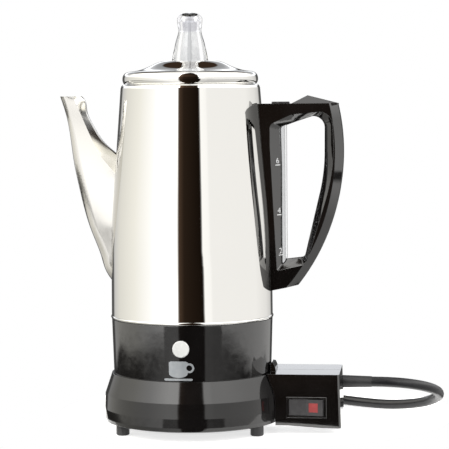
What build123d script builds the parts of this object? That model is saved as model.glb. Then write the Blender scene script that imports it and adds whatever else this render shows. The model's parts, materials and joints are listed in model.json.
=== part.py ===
"""Electric coffee percolator with a sight gauge in its handle and a plug-in mains connector.

Frame: +Z up, +X towards the handle and the mains connector, -X towards the spout,
-Y the front with the indicator lens.  The origin is on the pot's axis, in the plane
that the feet stand on.  All sizes are in millimetres.
"""
import os
from math import acos, atan2, cos, hypot, pi, radians, sin, sqrt, tan

from build123d import *

# ---------------------------------------------------------------- driving dimensions
clear = 0.3                     # running clearance between bodies that move apart

foot_height = 6.6
foot_radius = 4.4
foot_circle = 51.5
foot_turn = -27.0               # direction of the first foot

ring_bottom = foot_height
ring_radius = 59.5
ring_shoulder_radius = 58.9
ring_shoulder_height = 25.7
ring_top_radius = 54.3
ring_top = 39.4
ring_wall = 2.6
ring_floor_hole = 43.0

collar_bottom_radius = 52.9
collar_top_radius = 54.0
collar_top = 75.7
collar_wall = 2.2

steel = 0.8                     # sheet thickness of the stainless parts
pot_skirt = 76.2                # lower edge of the steel body
pot_skirt_radius = 54.1
pot_bead = 0.5                  # how far the rolled lower edge stands out
pot_bead_height = 1.8
pot_belly_radius = 53.8
pot_bend_height = 136.0         # where the cylinder turns into the cone
pot_bend_radius = 600.0
pot_neck_radius = 46.6
pot_neck = 229.6
pot_rim = 231.8
pot_rim_radius = 43.2
pot_floor = 82.0

well_radius = 15.9
well_depth = 8.0

lid_edge = 232.2
lid_widest = 235.9
lid_radius = 45.3
plateau = 247.4
plateau_radius = 18.9
lid_hole = 10.2

knob_base = 247.7
knob_top = 279.8
knob_flare_radius = 12.0
knob_waist = 267.6
knob_waist_radius = 7.65
knob_head_radius = 8.4

stem_radius = 3.5
stem_bore = 2.7
stem_bottom = 79.0
stem_top = 244.0
basket_floor = 160.0
basket_rim = 208.0
basket_radius = 38.0
spreader_base = 208.4

handle_top = 218.8
handle_root = 94.0
handle_half_top = 10.5          # half thickness at the top arm
handle_half_root = 7.0          # half thickness at the lower root
handle_full_height = 190.0      # full thickness from here up
grip_corner = 98.6              # outer end of the top arm
grip_facet = 4.9
bevel_depth = 5.1
bevel_step = 1.6                # depth of the rounding's middle

gauge_x = 60.5
gauge_radius = 4.1
gauge_bore = 3.1
gauge_foot = 106.0
gauge_head = 214.0
gauge_port = 101.5
vent_port = 214.8

spout_mouth = 224.6
spout_ridge_share = 0.3         # rounded part of the spout's back

lens_height = 60.8
lens_radius = 5.5
emblem_height = 47.3

pin_radius = 2.0
inlet_height = 22.0
inlet_half_width = 17.0
inlet_half_height = 13.0
inlet_wall = 2.0
inlet_floor = 41.0
inlet_tip = 54.0
inlet_pins_yz = ((-7.0, 25.0), (7.0, 25.0), (0.0, 17.0))

case_half_width = 17.0
case_top_front = 39.9
case_top_rear = 42.2
case_end = 100.4
case_wall = 2.2
case_front_wall = 62.0

switch_x = 78.1
switch_z = 18.0
rocker_length = 23.2
rocker_height = 10.7
rocker_tilt = 7.0               # half the angle between its two faces

cord_radius = 3.4
cord_exit_height = 33.3
boot_length = 20.0

coil_centre = (38.0, 102.0)
coil_outer = 44.6
coil_inner = 30.2
coil_height = 13.8

plug_axis_y = 138.5
plug_axis_z = 18.6
plug_tail_x = 2.0               # where the cord enters the plug
plug_radius = 18.4
plug_pin_radius = 2.4
plug_pin_length = 19.0
plug_pin_spacing = 19.0

os.makedirs("parts", exist_ok=True)


def keep(piece, label):
    """Name a finished piece and write its STEP file."""
    piece.part.label = label
    export_step(piece.part, f"parts/{label}.step")


def ring_of(inner, outer, low, high):
    """A plain flat ring about the pot's axis."""
    with BuildPart() as ring:
        with BuildSketch(Plane.XY.offset(low)):
            Circle(outer)
            Circle(inner, mode=Mode.SUBTRACT)
        extrude(amount=high - low)
    return ring


def turned(points):
    """A solid of revolution about the pot's axis from a closed outline of (radius, height)."""
    with BuildPart() as solid:
        with BuildSketch(Plane.XZ):
            with BuildLine():
                Polyline(*points, close=True)
            make_face()
        revolve(axis=Axis.Z)
    return solid


def radius_on_line(low, high, height):
    """Radius at a height on the straight line between two (radius, height) points."""
    share = (height - low[1]) / (high[1] - low[1])
    return low[0] + share * (high[0] - low[0])


# ---------------------------------------------------------------- envelopes of the pot and base
with BuildPart() as pot_envelope:
    with BuildSketch(Plane.XZ):
        with BuildLine():
            side = FilletPolyline(
                (pot_skirt_radius, pot_skirt),
                (pot_belly_radius, pot_bend_height),
                (pot_neck_radius, pot_neck),
                radius=pot_bend_radius,
            )
            Polyline(side @ 1, (0, pot_neck), (0, pot_skirt), side @ 0)
        make_face()
    revolve(axis=Axis.Z)

ring_outline = (
    (ring_radius - 3.2, ring_bottom),
    (ring_radius - 0.9, ring_bottom + 0.9),
    (ring_radius, ring_bottom + 3.4),
    (ring_radius, ring_bottom + 9.4),
    (ring_shoulder_radius, ring_shoulder_height),
    (ring_top_radius, ring_top),
)
ring_envelope = turned([(0, ring_bottom), *ring_outline, (0, ring_top)])

# ---------------------------------------------------------------- base ring and what stands in it
ring_inner = ring_radius - ring_wall
collar_inner_foot = collar_bottom_radius - collar_wall
with BuildPart() as base_ring:
    with BuildSketch(Plane.XZ):
        with BuildLine():
            Polyline(
                (ring_floor_hole, ring_bottom),
                *ring_outline,
                (collar_inner_foot - 2.5, ring_top),
                (collar_inner_foot - 2.5, ring_top - 2.0),
                (ring_top_radius - ring_wall, ring_top - 2.0),
                (ring_inner - 0.6, ring_shoulder_height - 1.0),
                (ring_inner, ring_bottom + 2.2),
                (ring_floor_hole, ring_bottom + 2.2),
                close=True,
            )
        make_face()
    revolve(axis=Axis.Z)
    with BuildSketch(Plane.YZ.offset(inlet_floor)):
        with Locations((0, inlet_height)):
            Rectangle(2 * inlet_half_width, 2 * inlet_half_height)
    extrude(amount=ring_radius - inlet_floor + 1, mode=Mode.SUBTRACT)
keep(base_ring, "base_ring")

plate_bottom = ring_bottom - 1.5
with BuildPart() as base_plate:
    with BuildSketch(Plane.XY.offset(plate_bottom)):
        Circle(ring_floor_hole + 3.2)
    extrude(amount=1.5)
    with BuildSketch(Plane.XY.offset(ring_bottom)):
        Circle(ring_floor_hole - 0.2)
    extrude(amount=1.6)
    with Locations((0, 0, ring_bottom)):
        Hole(radius=2.6, depth=10)
    with Locations((0, 0, plate_bottom - 1)):
        with PolarLocations(30, 8):
            Hole(radius=2.0, depth=12)
keep(base_plate, "base_plate")

for number in range(3):
    angle = radians(foot_turn + 120 * number)
    with BuildPart() as foot:
        with BuildSketch():
            with Locations((foot_circle * cos(angle), foot_circle * sin(angle))):
                Circle(foot_radius)
        extrude(amount=foot_height)
        chamfer(foot.edges().group_by(Axis.Z)[0], 0.7)
    keep(foot, f"foot_{number + 1}")

stud_top = pot_floor - well_depth
with BuildPart() as centre_stud:
    with BuildSketch(Plane.XY.offset(plate_bottom - 3.4)):
        Circle(2.5)
    extrude(amount=stud_top - plate_bottom + 3.4)
keep(centre_stud, "centre_stud")

with BuildPart() as stud_nut:
    with BuildSketch(Plane.XY.offset(plate_bottom - 3.0)):
        RegularPolygon(radius=4.6, side_count=6)
        Circle(2.5, mode=Mode.SUBTRACT)
    extrude(amount=3.0)
keep(stud_nut, "stud_nut")

# ---------------------------------------------------------------- collar, lens, lamp and emblem
collar_low = (collar_bottom_radius, ring_top)
collar_high = (collar_top_radius, collar_top)
spigot_radius = pot_skirt_radius - steel - 0.1
with BuildPart() as collar:
    with BuildSketch(Plane.XZ):
        with BuildLine():
            Polyline(
                collar_low,
                collar_high,
                (spigot_radius, collar_top),
                (spigot_radius, pot_floor - 2.4),
                (spigot_radius - collar_wall, pot_floor - 2.4),
                (spigot_radius - collar_wall, collar_top - 3),
                (collar_inner_foot, ring_top),
                close=True,
            )
        make_face()
    revolve(axis=Axis.Z)
    with BuildSketch(Plane.XZ.offset(collar_inner_foot - 6)):
        with Locations((0, lens_height)):
            Circle(lens_radius)
    extrude(amount=12, mode=Mode.SUBTRACT)
keep(collar, "collar")

lens_front = radius_on_line(collar_low, collar_high, lens_height) + 0.7
with BuildPart() as indicator_lens:
    with BuildSketch(Plane.XZ.offset(lens_front - 8)):
        with Locations((0, lens_height)):
            Circle(lens_radius)
    extrude(amount=8)
    fillet(indicator_lens.edges().group_by(Axis.Y)[0], 0.6)
    with BuildSketch(Plane.XZ.offset(lens_front - 8)):
        with Locations((0, lens_height)):
            Circle(3.3)
    extrude(amount=5.5, mode=Mode.SUBTRACT)
keep(indicator_lens, "indicator_lens")

with BuildPart() as indicator_lamp:
    with BuildSketch(Plane.XZ.offset(lens_front - 15)):
        with Locations((0, lens_height)):
            Circle(3.0)
    extrude(amount=12)
keep(indicator_lamp, "indicator_lamp")

emblem_thickness = 0.35
emblem_low = (radius_on_line(collar_low, collar_high, emblem_height - 8), emblem_height - 8)
emblem_high = (radius_on_line(collar_low, collar_high, emblem_height + 8), emblem_height + 8)
with BuildPart() as emblem:
    with BuildSketch(Plane.XZ):
        with BuildLine():
            Polyline(
                emblem_low,
                emblem_high,
                (emblem_high[0] + emblem_thickness, emblem_high[1]),
                (emblem_low[0] + emblem_thickness, emblem_low[1]),
                close=True,
            )
        make_face()
    revolve(axis=Axis.Z)
    with BuildSketch(Plane.XZ.offset(40)):
        with Locations((-1.8, emblem_height)):
            with Locations((0, 1.4)):
                Rectangle(12.4, 7.4)
            with Locations((0, -2.2)):
                Ellipse(6.2, 3.0)
            with Locations((7.2, 1.2)):
                Circle(3.2)
                Circle(1.9, mode=Mode.SUBTRACT)
            with Locations((0, 1.4)):
                Rectangle(10.6, 8.2)
            with Locations((0, -6.4)):
                SlotOverall(18.6, 1.4)
    extrude(amount=20, mode=Mode.INTERSECT)
keep(emblem, "emblem")

# ---------------------------------------------------------------- pot body
with BuildPart() as pot_body:
    with BuildSketch(Plane.XZ):
        with BuildLine():
            outer = FilletPolyline(
                (pot_skirt_radius, pot_skirt + pot_bead_height),
                (pot_belly_radius, pot_bend_height),
                (pot_neck_radius, pot_neck),
                radius=pot_bend_radius,
            )
            inner = FilletPolyline(
                (pot_skirt_radius - steel, pot_skirt),
                (pot_belly_radius - steel, pot_bend_height),
                (pot_neck_radius - steel, pot_neck),
                radius=pot_bend_radius,
            )
            bead = ThreePointArc(
                outer @ 0,
                (pot_skirt_radius + pot_bead, pot_skirt + pot_bead_height / 2),
                (pot_skirt_radius - 0.1, pot_skirt),
            )
            Line(bead @ 1, inner @ 0)
            Polyline(
                outer @ 1,
                (pot_neck_radius - 0.5, pot_rim - 0.8),
                (pot_neck_radius - 1.3, pot_rim),
                (pot_rim_radius, pot_rim),
                (pot_rim_radius, pot_rim - steel),
                (pot_neck_radius - 1.6, pot_rim - steel),
                inner @ 1,
            )
        make_face()
    revolve(axis=Axis.Z)
    with BuildSketch(Plane.XY.offset(pot_floor - steel)):
        Circle(pot_belly_radius - 0.4)
        Circle(well_radius, mode=Mode.SUBTRACT)
    extrude(amount=steel)
    # strainer holes behind the spout
    with BuildSketch(Plane.YZ.offset(-60)):
        with Locations((0, 146)):
            with GridLocations(5.0, 6.0, 3, 9):
                Circle(1.4)
    extrude(amount=20, mode=Mode.SUBTRACT)
    # ports of the sight gauge
    with BuildSketch(Plane.YZ.offset(40)):
        with Locations((0, gauge_port)):
            Circle(3.0)
        with Locations((0, vent_port)):
            Circle(1.6)
    extrude(amount=16, mode=Mode.SUBTRACT)
keep(pot_body, "pot_body")

well_top = pot_floor + 2 * steel
pump_well = turned([
    (0, stud_top),
    (well_radius, stud_top),
    (well_radius, pot_floor + steel),
    (well_radius + 4, pot_floor + steel),
    (well_radius + 4, well_top),
    (well_radius - steel, well_top),
    (well_radius - steel, stud_top + steel),
    (0, stud_top + steel),
])
keep(pump_well, "pump_well")
keep(ring_of(well_radius, well_radius + 3.6, pot_floor, pot_floor + steel), "well_gasket")

# ---------------------------------------------------------------- heater, thermostat and fuse
block_bottom = 77.4
keep(ring_of(well_radius + 1, 44, block_bottom, pot_floor - steel), "heater_block")

element_radius = 36.0
element_tube = 3.3
element_height = block_bottom - element_tube
element_gap = 22.0              # half the angle left open between the two ends
terminal_angle = radians(element_gap + 5)
terminal_height = element_height - 16
terminals = [
    (element_radius * cos(terminal_angle), element_radius * sin(terminal_angle) * side_of)
    for side_of in (-1, 1)
]
with BuildPart() as heating_element:
    with BuildSketch(Plane.XZ.rotated((0, 0, element_gap))):
        with Locations((element_radius, element_height)):
            Circle(element_tube)
    revolve(axis=Axis.Z, revolution_arc=360 - 2 * element_gap)
    for end in terminals:
        with BuildSketch(Plane.XY.offset(terminal_height)):
            with Locations(end):
                Circle(1.5)
        extrude(amount=element_height - terminal_height)
keep(heating_element, "heating_element")

thermostat_y = 24.6
with BuildPart() as thermostat:
    with BuildSketch(Plane.XY.offset(block_bottom - 11)):
        with Locations((0, thermostat_y)):
            Circle(7.4)
    extrude(amount=11)
    with BuildSketch(Plane.XY.offset(block_bottom - 8)):
        with Locations((-9, thermostat_y), (9, thermostat_y)):
            Rectangle(5, 3)
    extrude(amount=0.8)
keep(thermostat, "thermostat")

with BuildPart() as thermostat_strap:
    with BuildSketch(Plane.XZ.offset(-thermostat_y - 3)):
        with BuildLine():
            Polyline(
                (-13.5, block_bottom),
                (-13.5, block_bottom - 12),
                (13.5, block_bottom - 12),
                (13.5, block_bottom),
                (12.7, block_bottom),
                (12.7, block_bottom - 11),
                (-12.7, block_bottom - 11),
                (-12.7, block_bottom),
                close=True,
            )
        make_face()
    extrude(amount=6)
keep(thermostat_strap, "thermostat_strap")

with BuildPart() as thermal_fuse:
    with BuildSketch(Plane.YZ.offset(-8)):
        with Locations((-thermostat_y, block_bottom - 2)):
            Circle(2)
    extrude(amount=16)
keep(thermal_fuse, "thermal_fuse")

# ---------------------------------------------------------------- mains inlet in the ring
with BuildPart() as inlet_socket:
    with BuildSketch(Plane.YZ.offset(inlet_floor)):
        with Locations((0, inlet_height)):
            Rectangle(2 * inlet_half_width, 2 * inlet_half_height)
    extrude(amount=20)
    with BuildSketch(Plane.YZ.offset(inlet_floor + 2.5)):
        with Locations((0, inlet_height)):
            Rectangle(2 * (inlet_half_width - inlet_wall), 2 * (inlet_half_height - inlet_wall))
    extrude(amount=20, mode=Mode.SUBTRACT)
    with BuildSketch(Plane.YZ.offset(inlet_floor - 1)):
        with Locations(*inlet_pins_yz):
            Circle(pin_radius)
    extrude(amount=5, mode=Mode.SUBTRACT)
    add(ring_envelope.part, mode=Mode.INTERSECT)
keep(inlet_socket, "inlet_socket")

pin_tail = 36.0
with BuildPart() as inlet_pins:
    with BuildSketch(Plane.YZ.offset(pin_tail)):
        with Locations(*inlet_pins_yz):
            Circle(pin_radius)
    extrude(amount=inlet_tip - pin_tail)
keep(inlet_pins, "inlet_pins")

with BuildPart() as lead_wires:
    for (pin_y, pin_z), (end_x, end_y) in zip(inlet_pins_yz, terminals):
        with BuildLine() as wire_path:
            FilletPolyline(
                (pin_tail, pin_y, pin_z),
                (pin_tail - 8, pin_y, pin_z),
                (end_x, end_y, 44),
                (end_x, end_y, terminal_height),
                radius=3,
            )
        with BuildSketch(Plane(origin=wire_path.line @ 0, z_dir=wire_path.line % 0)):
            Circle(1.1)
        sweep(path=wire_path.line)
keep(lead_wires, "lead_wires")

# ---------------------------------------------------------------- spout
# height, then distances from the axis of the back, of the two creases and of the tip,
# half width at the creases and radius of the tip
spout_sections = (
    (spout_mouth, 73.9, 78.1, 88.6, 7.4, 5.2),
    (214.0, 70.2, 73.7, 85.2, 8.3, 5.8),
    (206.0, 66.7, 70.1, 83.3, 9.1, 6.4),
    (198.0, 62.0, 66.4, 82.0, 9.9, 7.0),
    (191.0, 55.9, 63.0, 81.1, 10.7, 7.5),
    (184.0, 47.6, 58.8, 80.2, 11.5, 8.0),
    (176.0, 42.0, 51.8, 78.9, 12.7, 8.4),
    (166.0, 39.0, 46.0, 76.8, 13.3, 8.8),
    (152.0, 39.0, 44.5, 73.6, 13.5, 9.0),
    (134.0, 39.0, 44.0, 68.2, 13.4, 9.2),
    (117.0, 39.0, 43.0, 61.7, 12.9, 9.6),
    (101.0, 38.0, 42.0, 54.6, 12.2, 10.2),
)


def spout_loft(wall, top):
    """The spout's body, drawn in by a wall thickness."""
    with BuildPart() as solid:
        for height, back, crease, tip, half_width, tip_radius in spout_sections:
            level = top if height == spout_mouth else height
            corner = (-crease - wall / 2, half_width - wall)
            round_radius = tip_radius - wall / 2
            centre = wall + round_radius - tip
            run = corner[0] - centre
            reach = hypot(run, corner[1])
            # direction from the tip's centre to the point where the flat side meets it
            turn = atan2(corner[1], run) + acos(round_radius / reach)
            touch = (centre + round_radius * cos(turn), round_radius * sin(turn))
            # the back is two flat faces that meet in a rounded ridge
            ridge_half = spout_ridge_share * corner[1]
            lean = atan2(crease - back, corner[1]) / 2
            ridge = (-back - wall - ridge_half * tan(lean), ridge_half)
            with BuildSketch(Plane.XY.offset(level)):
                with BuildLine():
                    Line((corner[0], -corner[1]), (ridge[0], -ridge[1]))
                    ThreePointArc((ridge[0], -ridge[1]), (-back - wall, 0), ridge)
                    Line(ridge, corner)
                    Line(corner, touch)
                    ThreePointArc(touch, (wall - tip, 0), (touch[0], -touch[1]))
                    Line((touch[0], -touch[1]), (corner[0], -corner[1]))
                make_face()
        loft()
    return solid


spout_outside = spout_loft(0, spout_mouth)
spout_inside = spout_loft(steel, spout_mouth + 1)
with BuildPart() as spout:
    add(spout_outside.part)
    add(spout_inside.part, mode=Mode.SUBTRACT)
    add(pot_envelope.part, mode=Mode.SUBTRACT)
keep(spout, "spout")

# ---------------------------------------------------------------- handle
# corners of the finger opening, then of its rounded edge halfway and at the face of the slab
window_edge = ((60.1, 203.0), (70.0, 206.6), (90.3, 213.2), (89.9, 173.0), (76.3, 116.8), (63.3, 115.3))
bevel_middle = ((55.6, 204.6), (69.0, 210.6), (94.3, 213.9), (94.0, 173.0), (77.1, 113.8), (59.8, 110.3))
bevel_outline = ((53.4, 205.4), (68.4, 213.1), (96.8, 214.3), (96.5, 173.0), (77.6, 112.2), (58.1, 107.9))
window_radii = (2.4, 10.0, 7.5, 120.0, 3.5, 0.8)
middle_radii = (3.2, 10.0, 8.2, 130.0, 4.2, 0.8)
outline_radii = (4.0, 10.0, 8.8, 140.0, 5.0, 0.8)
hook_x = 49.0
hook_z = 209.5
hook_reach = 8.0
hook_rise = 5.0
hook_half_width = 5.0

with BuildPart() as thumb_rest:
    with BuildSketch(Plane.XZ):
        with BuildLine():
            Polyline((68.5, handle_top - 1), (68.5, handle_top), (78.5, 224.1),
                     (grip_corner, handle_top), (grip_corner, handle_top - 1), close=True)
        make_face()
    extrude(amount=handle_half_top, both=True)
    with BuildSketch(Plane.YZ.offset(60)):
        with BuildLine():
            Polyline((-9.6, handle_top - 1), (-9.6, handle_top), (-1.5, 224.2), (1.5, 224.2),
                     (9.6, handle_top), (9.6, handle_top - 1), close=True)
        make_face()
    extrude(amount=50, mode=Mode.INTERSECT)

slab_slope = (handle_half_top - handle_half_root) / (handle_full_height - handle_root)
front_face = Plane(
    origin=(0, slab_slope * handle_root - handle_half_root, 0),
    x_dir=(1, 0, 0),
    z_dir=(0, -1, -slab_slope),
)
with BuildPart() as window_bevel:
    for drop, corners, radii in (
        (bevel_depth, window_edge, window_radii),
        (bevel_step, bevel_middle, middle_radii),
        (-0.1, bevel_outline, outline_radii),
    ):
        with BuildSketch(front_face.offset(-drop)):
            with BuildLine():
                FilletPolyline(*corners, radius=radii, close=True)
            make_face()
    loft()

with BuildPart() as handle:
    with BuildSketch(Plane.XZ):
        with BuildLine():
            grip = Spline((grip_corner, handle_top), (102.1, 194), (98.4, 154), (84.4, 117), (71.9, 98.1))
            Polyline(grip @ 1, (51.8, handle_root), (44, handle_root), (44, handle_top), grip @ 0)
        make_face()
    extrude(amount=handle_half_top, both=True)
    # the slab thins towards its lower root
    with BuildSketch(Plane.YZ.offset(40)):
        with BuildLine():
            Polyline(
                (-handle_half_root, handle_root - 1),
                (handle_half_root, handle_root - 1),
                (handle_half_top, handle_full_height),
                (handle_half_top, handle_top),
                (-handle_half_top, handle_top),
                (-handle_half_top, handle_full_height),
                close=True,
            )
        make_face()
    extrude(amount=70, mode=Mode.INTERSECT)
    chamfer(handle.edges().filter_by(lambda edge: edge.center().X > 78 and abs(edge.center().Y) > 6
                                     and edge.center().Z < handle_top - 3), grip_facet)
    # finger opening with its wide rounded edges
    with BuildSketch(Plane.XZ):
        with BuildLine():
            FilletPolyline(*window_edge, radius=window_radii, close=True)
        make_face()
    extrude(amount=handle_half_top + 1, both=True, mode=Mode.SUBTRACT)
    add(window_bevel.part, mode=Mode.SUBTRACT)
    add(mirror(window_bevel.part, about=Plane.XZ, mode=Mode.PRIVATE), mode=Mode.SUBTRACT)
    # thumb rest on top, a low roof
    add(thumb_rest.part)
    # bore for the sight gauge, its elbow and its vent
    with BuildSketch(Plane.XY.offset(gauge_port - 3.5)):
        with Locations((gauge_x, 0)):
            Circle(gauge_radius + 0.8)
    extrude(amount=handle_top, mode=Mode.SUBTRACT)
    with BuildSketch(Plane.YZ.offset(44)):
        with Locations((0, gauge_port)):
            Circle(3.0)
        with Locations((0, vent_port)):
            Circle(1.6)
    extrude(amount=gauge_x - 44, mode=Mode.SUBTRACT)
    # pocket of the upper hook and clearance of the lower bracket
    with BuildSketch(Plane.XZ):
        with Locations((hook_x, hook_z)):
            Rectangle(hook_reach, hook_rise)
    extrude(amount=hook_half_width, both=True, mode=Mode.SUBTRACT)
    add(pot_envelope.part, mode=Mode.SUBTRACT)
keep(handle, "handle")

with BuildPart() as handle_hook:
    with BuildSketch(Plane.XZ):
        with Locations((hook_x, hook_z)):
            Rectangle(hook_reach, hook_rise)
    extrude(amount=hook_half_width, both=True)
    add(pot_envelope.part, mode=Mode.SUBTRACT)
keep(handle_hook, "handle_hook")

# ---------------------------------------------------------------- sight gauge
with BuildPart() as gauge_tube:
    with BuildSketch(Plane.XY.offset(gauge_foot)):
        with Locations((gauge_x, 0)):
            Circle(gauge_radius)
            Circle(gauge_bore, mode=Mode.SUBTRACT)
    extrude(amount=gauge_head - gauge_foot)
keep(gauge_tube, "gauge_tube")

with BuildPart() as gauge_seals:
    for seal_height in (gauge_foot, gauge_head - 2.0):
        with BuildSketch(Plane.XY.offset(seal_height)):
            with Locations((gauge_x, 0)):
                Circle(gauge_radius + 0.8)
                Circle(gauge_radius, mode=Mode.SUBTRACT)
        extrude(amount=2.0)
keep(gauge_seals, "gauge_seals")

with BuildPart() as gauge_cap:
    with BuildSketch(Plane.XY.offset(handle_top)):
        with Locations((gauge_x, 0)):
            Circle(6.0)
    extrude(amount=1.3)
    chamfer(gauge_cap.edges().group_by(Axis.Z)[-1], 0.3)
    with BuildSketch(Plane.XY.offset(gauge_head + 3)):
        with Locations((gauge_x, 0)):
            Circle(gauge_radius + 0.8)
    extrude(amount=handle_top - gauge_head - 3)
keep(gauge_cap, "gauge_cap")

with BuildPart() as gauge_elbow:
    with BuildSketch(Plane.XY.offset(gauge_port - 3.5)):
        with Locations((gauge_x, 0)):
            Circle(gauge_radius + 0.8)
    extrude(amount=gauge_foot - gauge_port + 3.5)
    with BuildSketch(Plane.YZ.offset(50.4)):
        with Locations((0, gauge_port)):
            Circle(3.0)
    extrude(amount=gauge_x - 50.4)
    with BuildSketch(Plane.YZ.offset(50.4)):
        with Locations((0, gauge_port)):
            Circle(1.8)
    extrude(amount=gauge_x - 50.4, mode=Mode.SUBTRACT)
    with BuildSketch(Plane.XY.offset(gauge_port)):
        with Locations((gauge_x, 0)):
            Circle(1.8)
    extrude(amount=gauge_foot - gauge_port, mode=Mode.SUBTRACT)
keep(gauge_elbow, "gauge_elbow")

with BuildPart() as gauge_vent:
    with BuildSketch(Plane.YZ.offset(45.0)):
        with Locations((0, vent_port)):
            Circle(1.6)
            Circle(1.0, mode=Mode.SUBTRACT)
    extrude(amount=gauge_x - gauge_radius - 0.8 - 45.0)
keep(gauge_vent, "gauge_vent")

# ---------------------------------------------------------------- lid and knob
lid_underside = plateau - steel
with BuildPart() as lid:
    with BuildSketch(Plane.XZ):
        with BuildLine():
            dome_outside = Spline(
                (lid_radius - 1.2, lid_edge),
                (lid_radius - 0.25, lid_edge + 1.6),
                (lid_radius, lid_widest),
                (lid_radius - 0.6, lid_widest + 2.3),
                (lid_radius - 2.1, lid_widest + 3.9),
                (lid_radius - 4.3, lid_widest + 4.6),
                (36.7, lid_widest + 5.2),
                (33.2, lid_widest + 6.0),
                (26.8, lid_widest + 8.4),
                (21.8, plateau - 0.8),
                (plateau_radius, plateau),
            )
            dome_inside = Spline(
                (plateau_radius - 0.4, lid_underside),
                (21.4, lid_underside - 0.8),
                (26.5, lid_widest + 7.6),
                (33.0, lid_widest + 5.2),
                (36.7, lid_widest + 4.4),
                (lid_radius - 4.4, lid_widest + 3.8),
                (lid_radius - 2.4, lid_widest + 3.2),
                (lid_radius - 1.3, lid_widest + 2.0),
                (lid_radius - steel, lid_widest),
                (lid_radius - 1.0, lid_edge + 1.9),
                (lid_radius - 1.8, lid_edge + steel),
            )
            Polyline(dome_outside @ 1, (lid_hole, plateau), (lid_hole, lid_underside), dome_inside @ 0)
            Polyline(dome_inside @ 1, (pot_rim_radius - 0.2, lid_edge + steel),
                     (pot_rim_radius - 0.2, lid_edge), dome_outside @ 0)
        make_face()
    revolve(axis=Axis.Z)
keep(lid, "lid")

skirt_radius = pot_rim_radius - 1.0
skirt_bottom = 223.0
lid_skirt = turned([
    (skirt_radius - steel, skirt_bottom),
    (skirt_radius, skirt_bottom),
    (skirt_radius, lid_widest - steel),
    (lid_radius - steel - 0.1, lid_widest - steel),
    (lid_radius - steel - 0.1, lid_widest),
    (skirt_radius - steel, lid_widest),
])
keep(lid_skirt, "lid_skirt")

neck_radius = lid_hole - clear - 0.2
knob_hollow = 7.6
with BuildPart() as knob:
    with BuildSketch(Plane.XZ):
        with BuildLine():
            flare = Spline(
                (knob_flare_radius, knob_base + 0.5),
                (10.75, knob_base + 7.1),
                (9.15, knob_base + 13.8),
                (knob_waist_radius, knob_waist),
                (knob_head_radius - 0.1, knob_top - 6.8),
                (knob_head_radius, knob_top - 4.2),
            )
            dome = ThreePointArc(flare @ 1, (knob_head_radius - 1.2, knob_top - 1.9),
                                 (knob_head_radius - 3.9, knob_top - 0.6))
            Polyline(
                dome @ 1,
                (0, knob_top),
                (0, knob_top - 3.2),
                (3.8, knob_top - 3.6),
                (5.2, knob_top - 6.0),
                (4.9, knob_waist),
                (6.6, knob_base + 9.0),
                (knob_hollow, knob_base - 1.0),
                (knob_hollow, knob_base - 3.6),
                (neck_radius, knob_base - 3.6),
                (neck_radius, knob_base),
                (knob_flare_radius, knob_base),
                flare @ 0,
            )
        make_face()
    revolve(axis=Axis.Z)
    # bayonet lugs below the lid
    with BuildSketch(Plane.XY.offset(knob_base - 3.6)):
        with PolarLocations(neck_radius + 1.0, 2):
            Rectangle(3.4, 5.0)
    extrude(amount=1.4)
keep(knob, "knob")
keep(ring_of(lid_hole, plateau_radius - 4.6, lid_underside - steel, lid_underside), "knob_gasket")

# ---------------------------------------------------------------- pump, basket and spreader
stem_bead = basket_floor - clear
with BuildPart() as stem_tube:
    with BuildSketch(Plane.XY.offset(stem_bottom)):
        Circle(stem_radius)
    extrude(amount=stem_top - stem_bottom)
    with BuildSketch(Plane.XY.offset(stem_bead - 2.4)):
        Circle(6.2)
    extrude(amount=2.4)
    with BuildSketch(Plane.XY.offset(stem_bottom)):
        Circle(5.0)
    extrude(amount=0.8)
    with BuildSketch(Plane.XY.offset(stem_bottom)):
        Circle(stem_bore)
    extrude(amount=stem_top - stem_bottom, mode=Mode.SUBTRACT)
keep(stem_tube, "stem_tube")

foot_skirt = well_radius - steel - 1.4
foot_floor = stud_top + steel + clear
stem_foot = turned([
    (foot_skirt - steel, foot_floor),
    (foot_skirt, foot_floor),
    (foot_skirt, foot_floor + 3.0),
    (stem_radius + steel, 90.0),
    (stem_radius + steel, 94.0),
    (stem_radius, 94.0),
    (stem_radius, 89.0),
    (foot_skirt - steel, foot_floor + 2.6),
])
keep(stem_foot, "stem_foot")

washer_rest = stem_bottom + 0.8 + clear
keep(ring_of(stem_radius + clear, 7.0, washer_rest, washer_rest + 1.0), "pump_washer")

hub_radius = stem_radius + clear
with BuildPart() as basket:
    with BuildSketch(Plane.XY.offset(basket_floor)):
        Circle(basket_radius)
    extrude(amount=basket_rim - basket_floor)
    with BuildSketch(Plane.XY.offset(basket_rim - steel)):
        Circle(basket_radius + 1.6)
    extrude(amount=steel)
    with BuildSketch(Plane.XY.offset(basket_floor + steel)):
        Circle(basket_radius - steel)
        Circle(hub_radius + steel, mode=Mode.SUBTRACT)
    extrude(amount=basket_rim - basket_floor, mode=Mode.SUBTRACT)
    with BuildSketch(Plane.XY.offset(basket_rim - 6)):
        Circle(hub_radius + 2)
    extrude(amount=8, mode=Mode.SUBTRACT)
    with BuildSketch(Plane.XY.offset(basket_floor - 1)):
        Circle(hub_radius)
        for hole_circle, hole_count in ((10, 12), (16, 20), (22, 28), (28, 36), (33.5, 42)):
            with PolarLocations(hole_circle, hole_count):
                Circle(0.9)
    extrude(amount=basket_rim - basket_floor, mode=Mode.SUBTRACT)
keep(basket, "basket")

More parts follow.
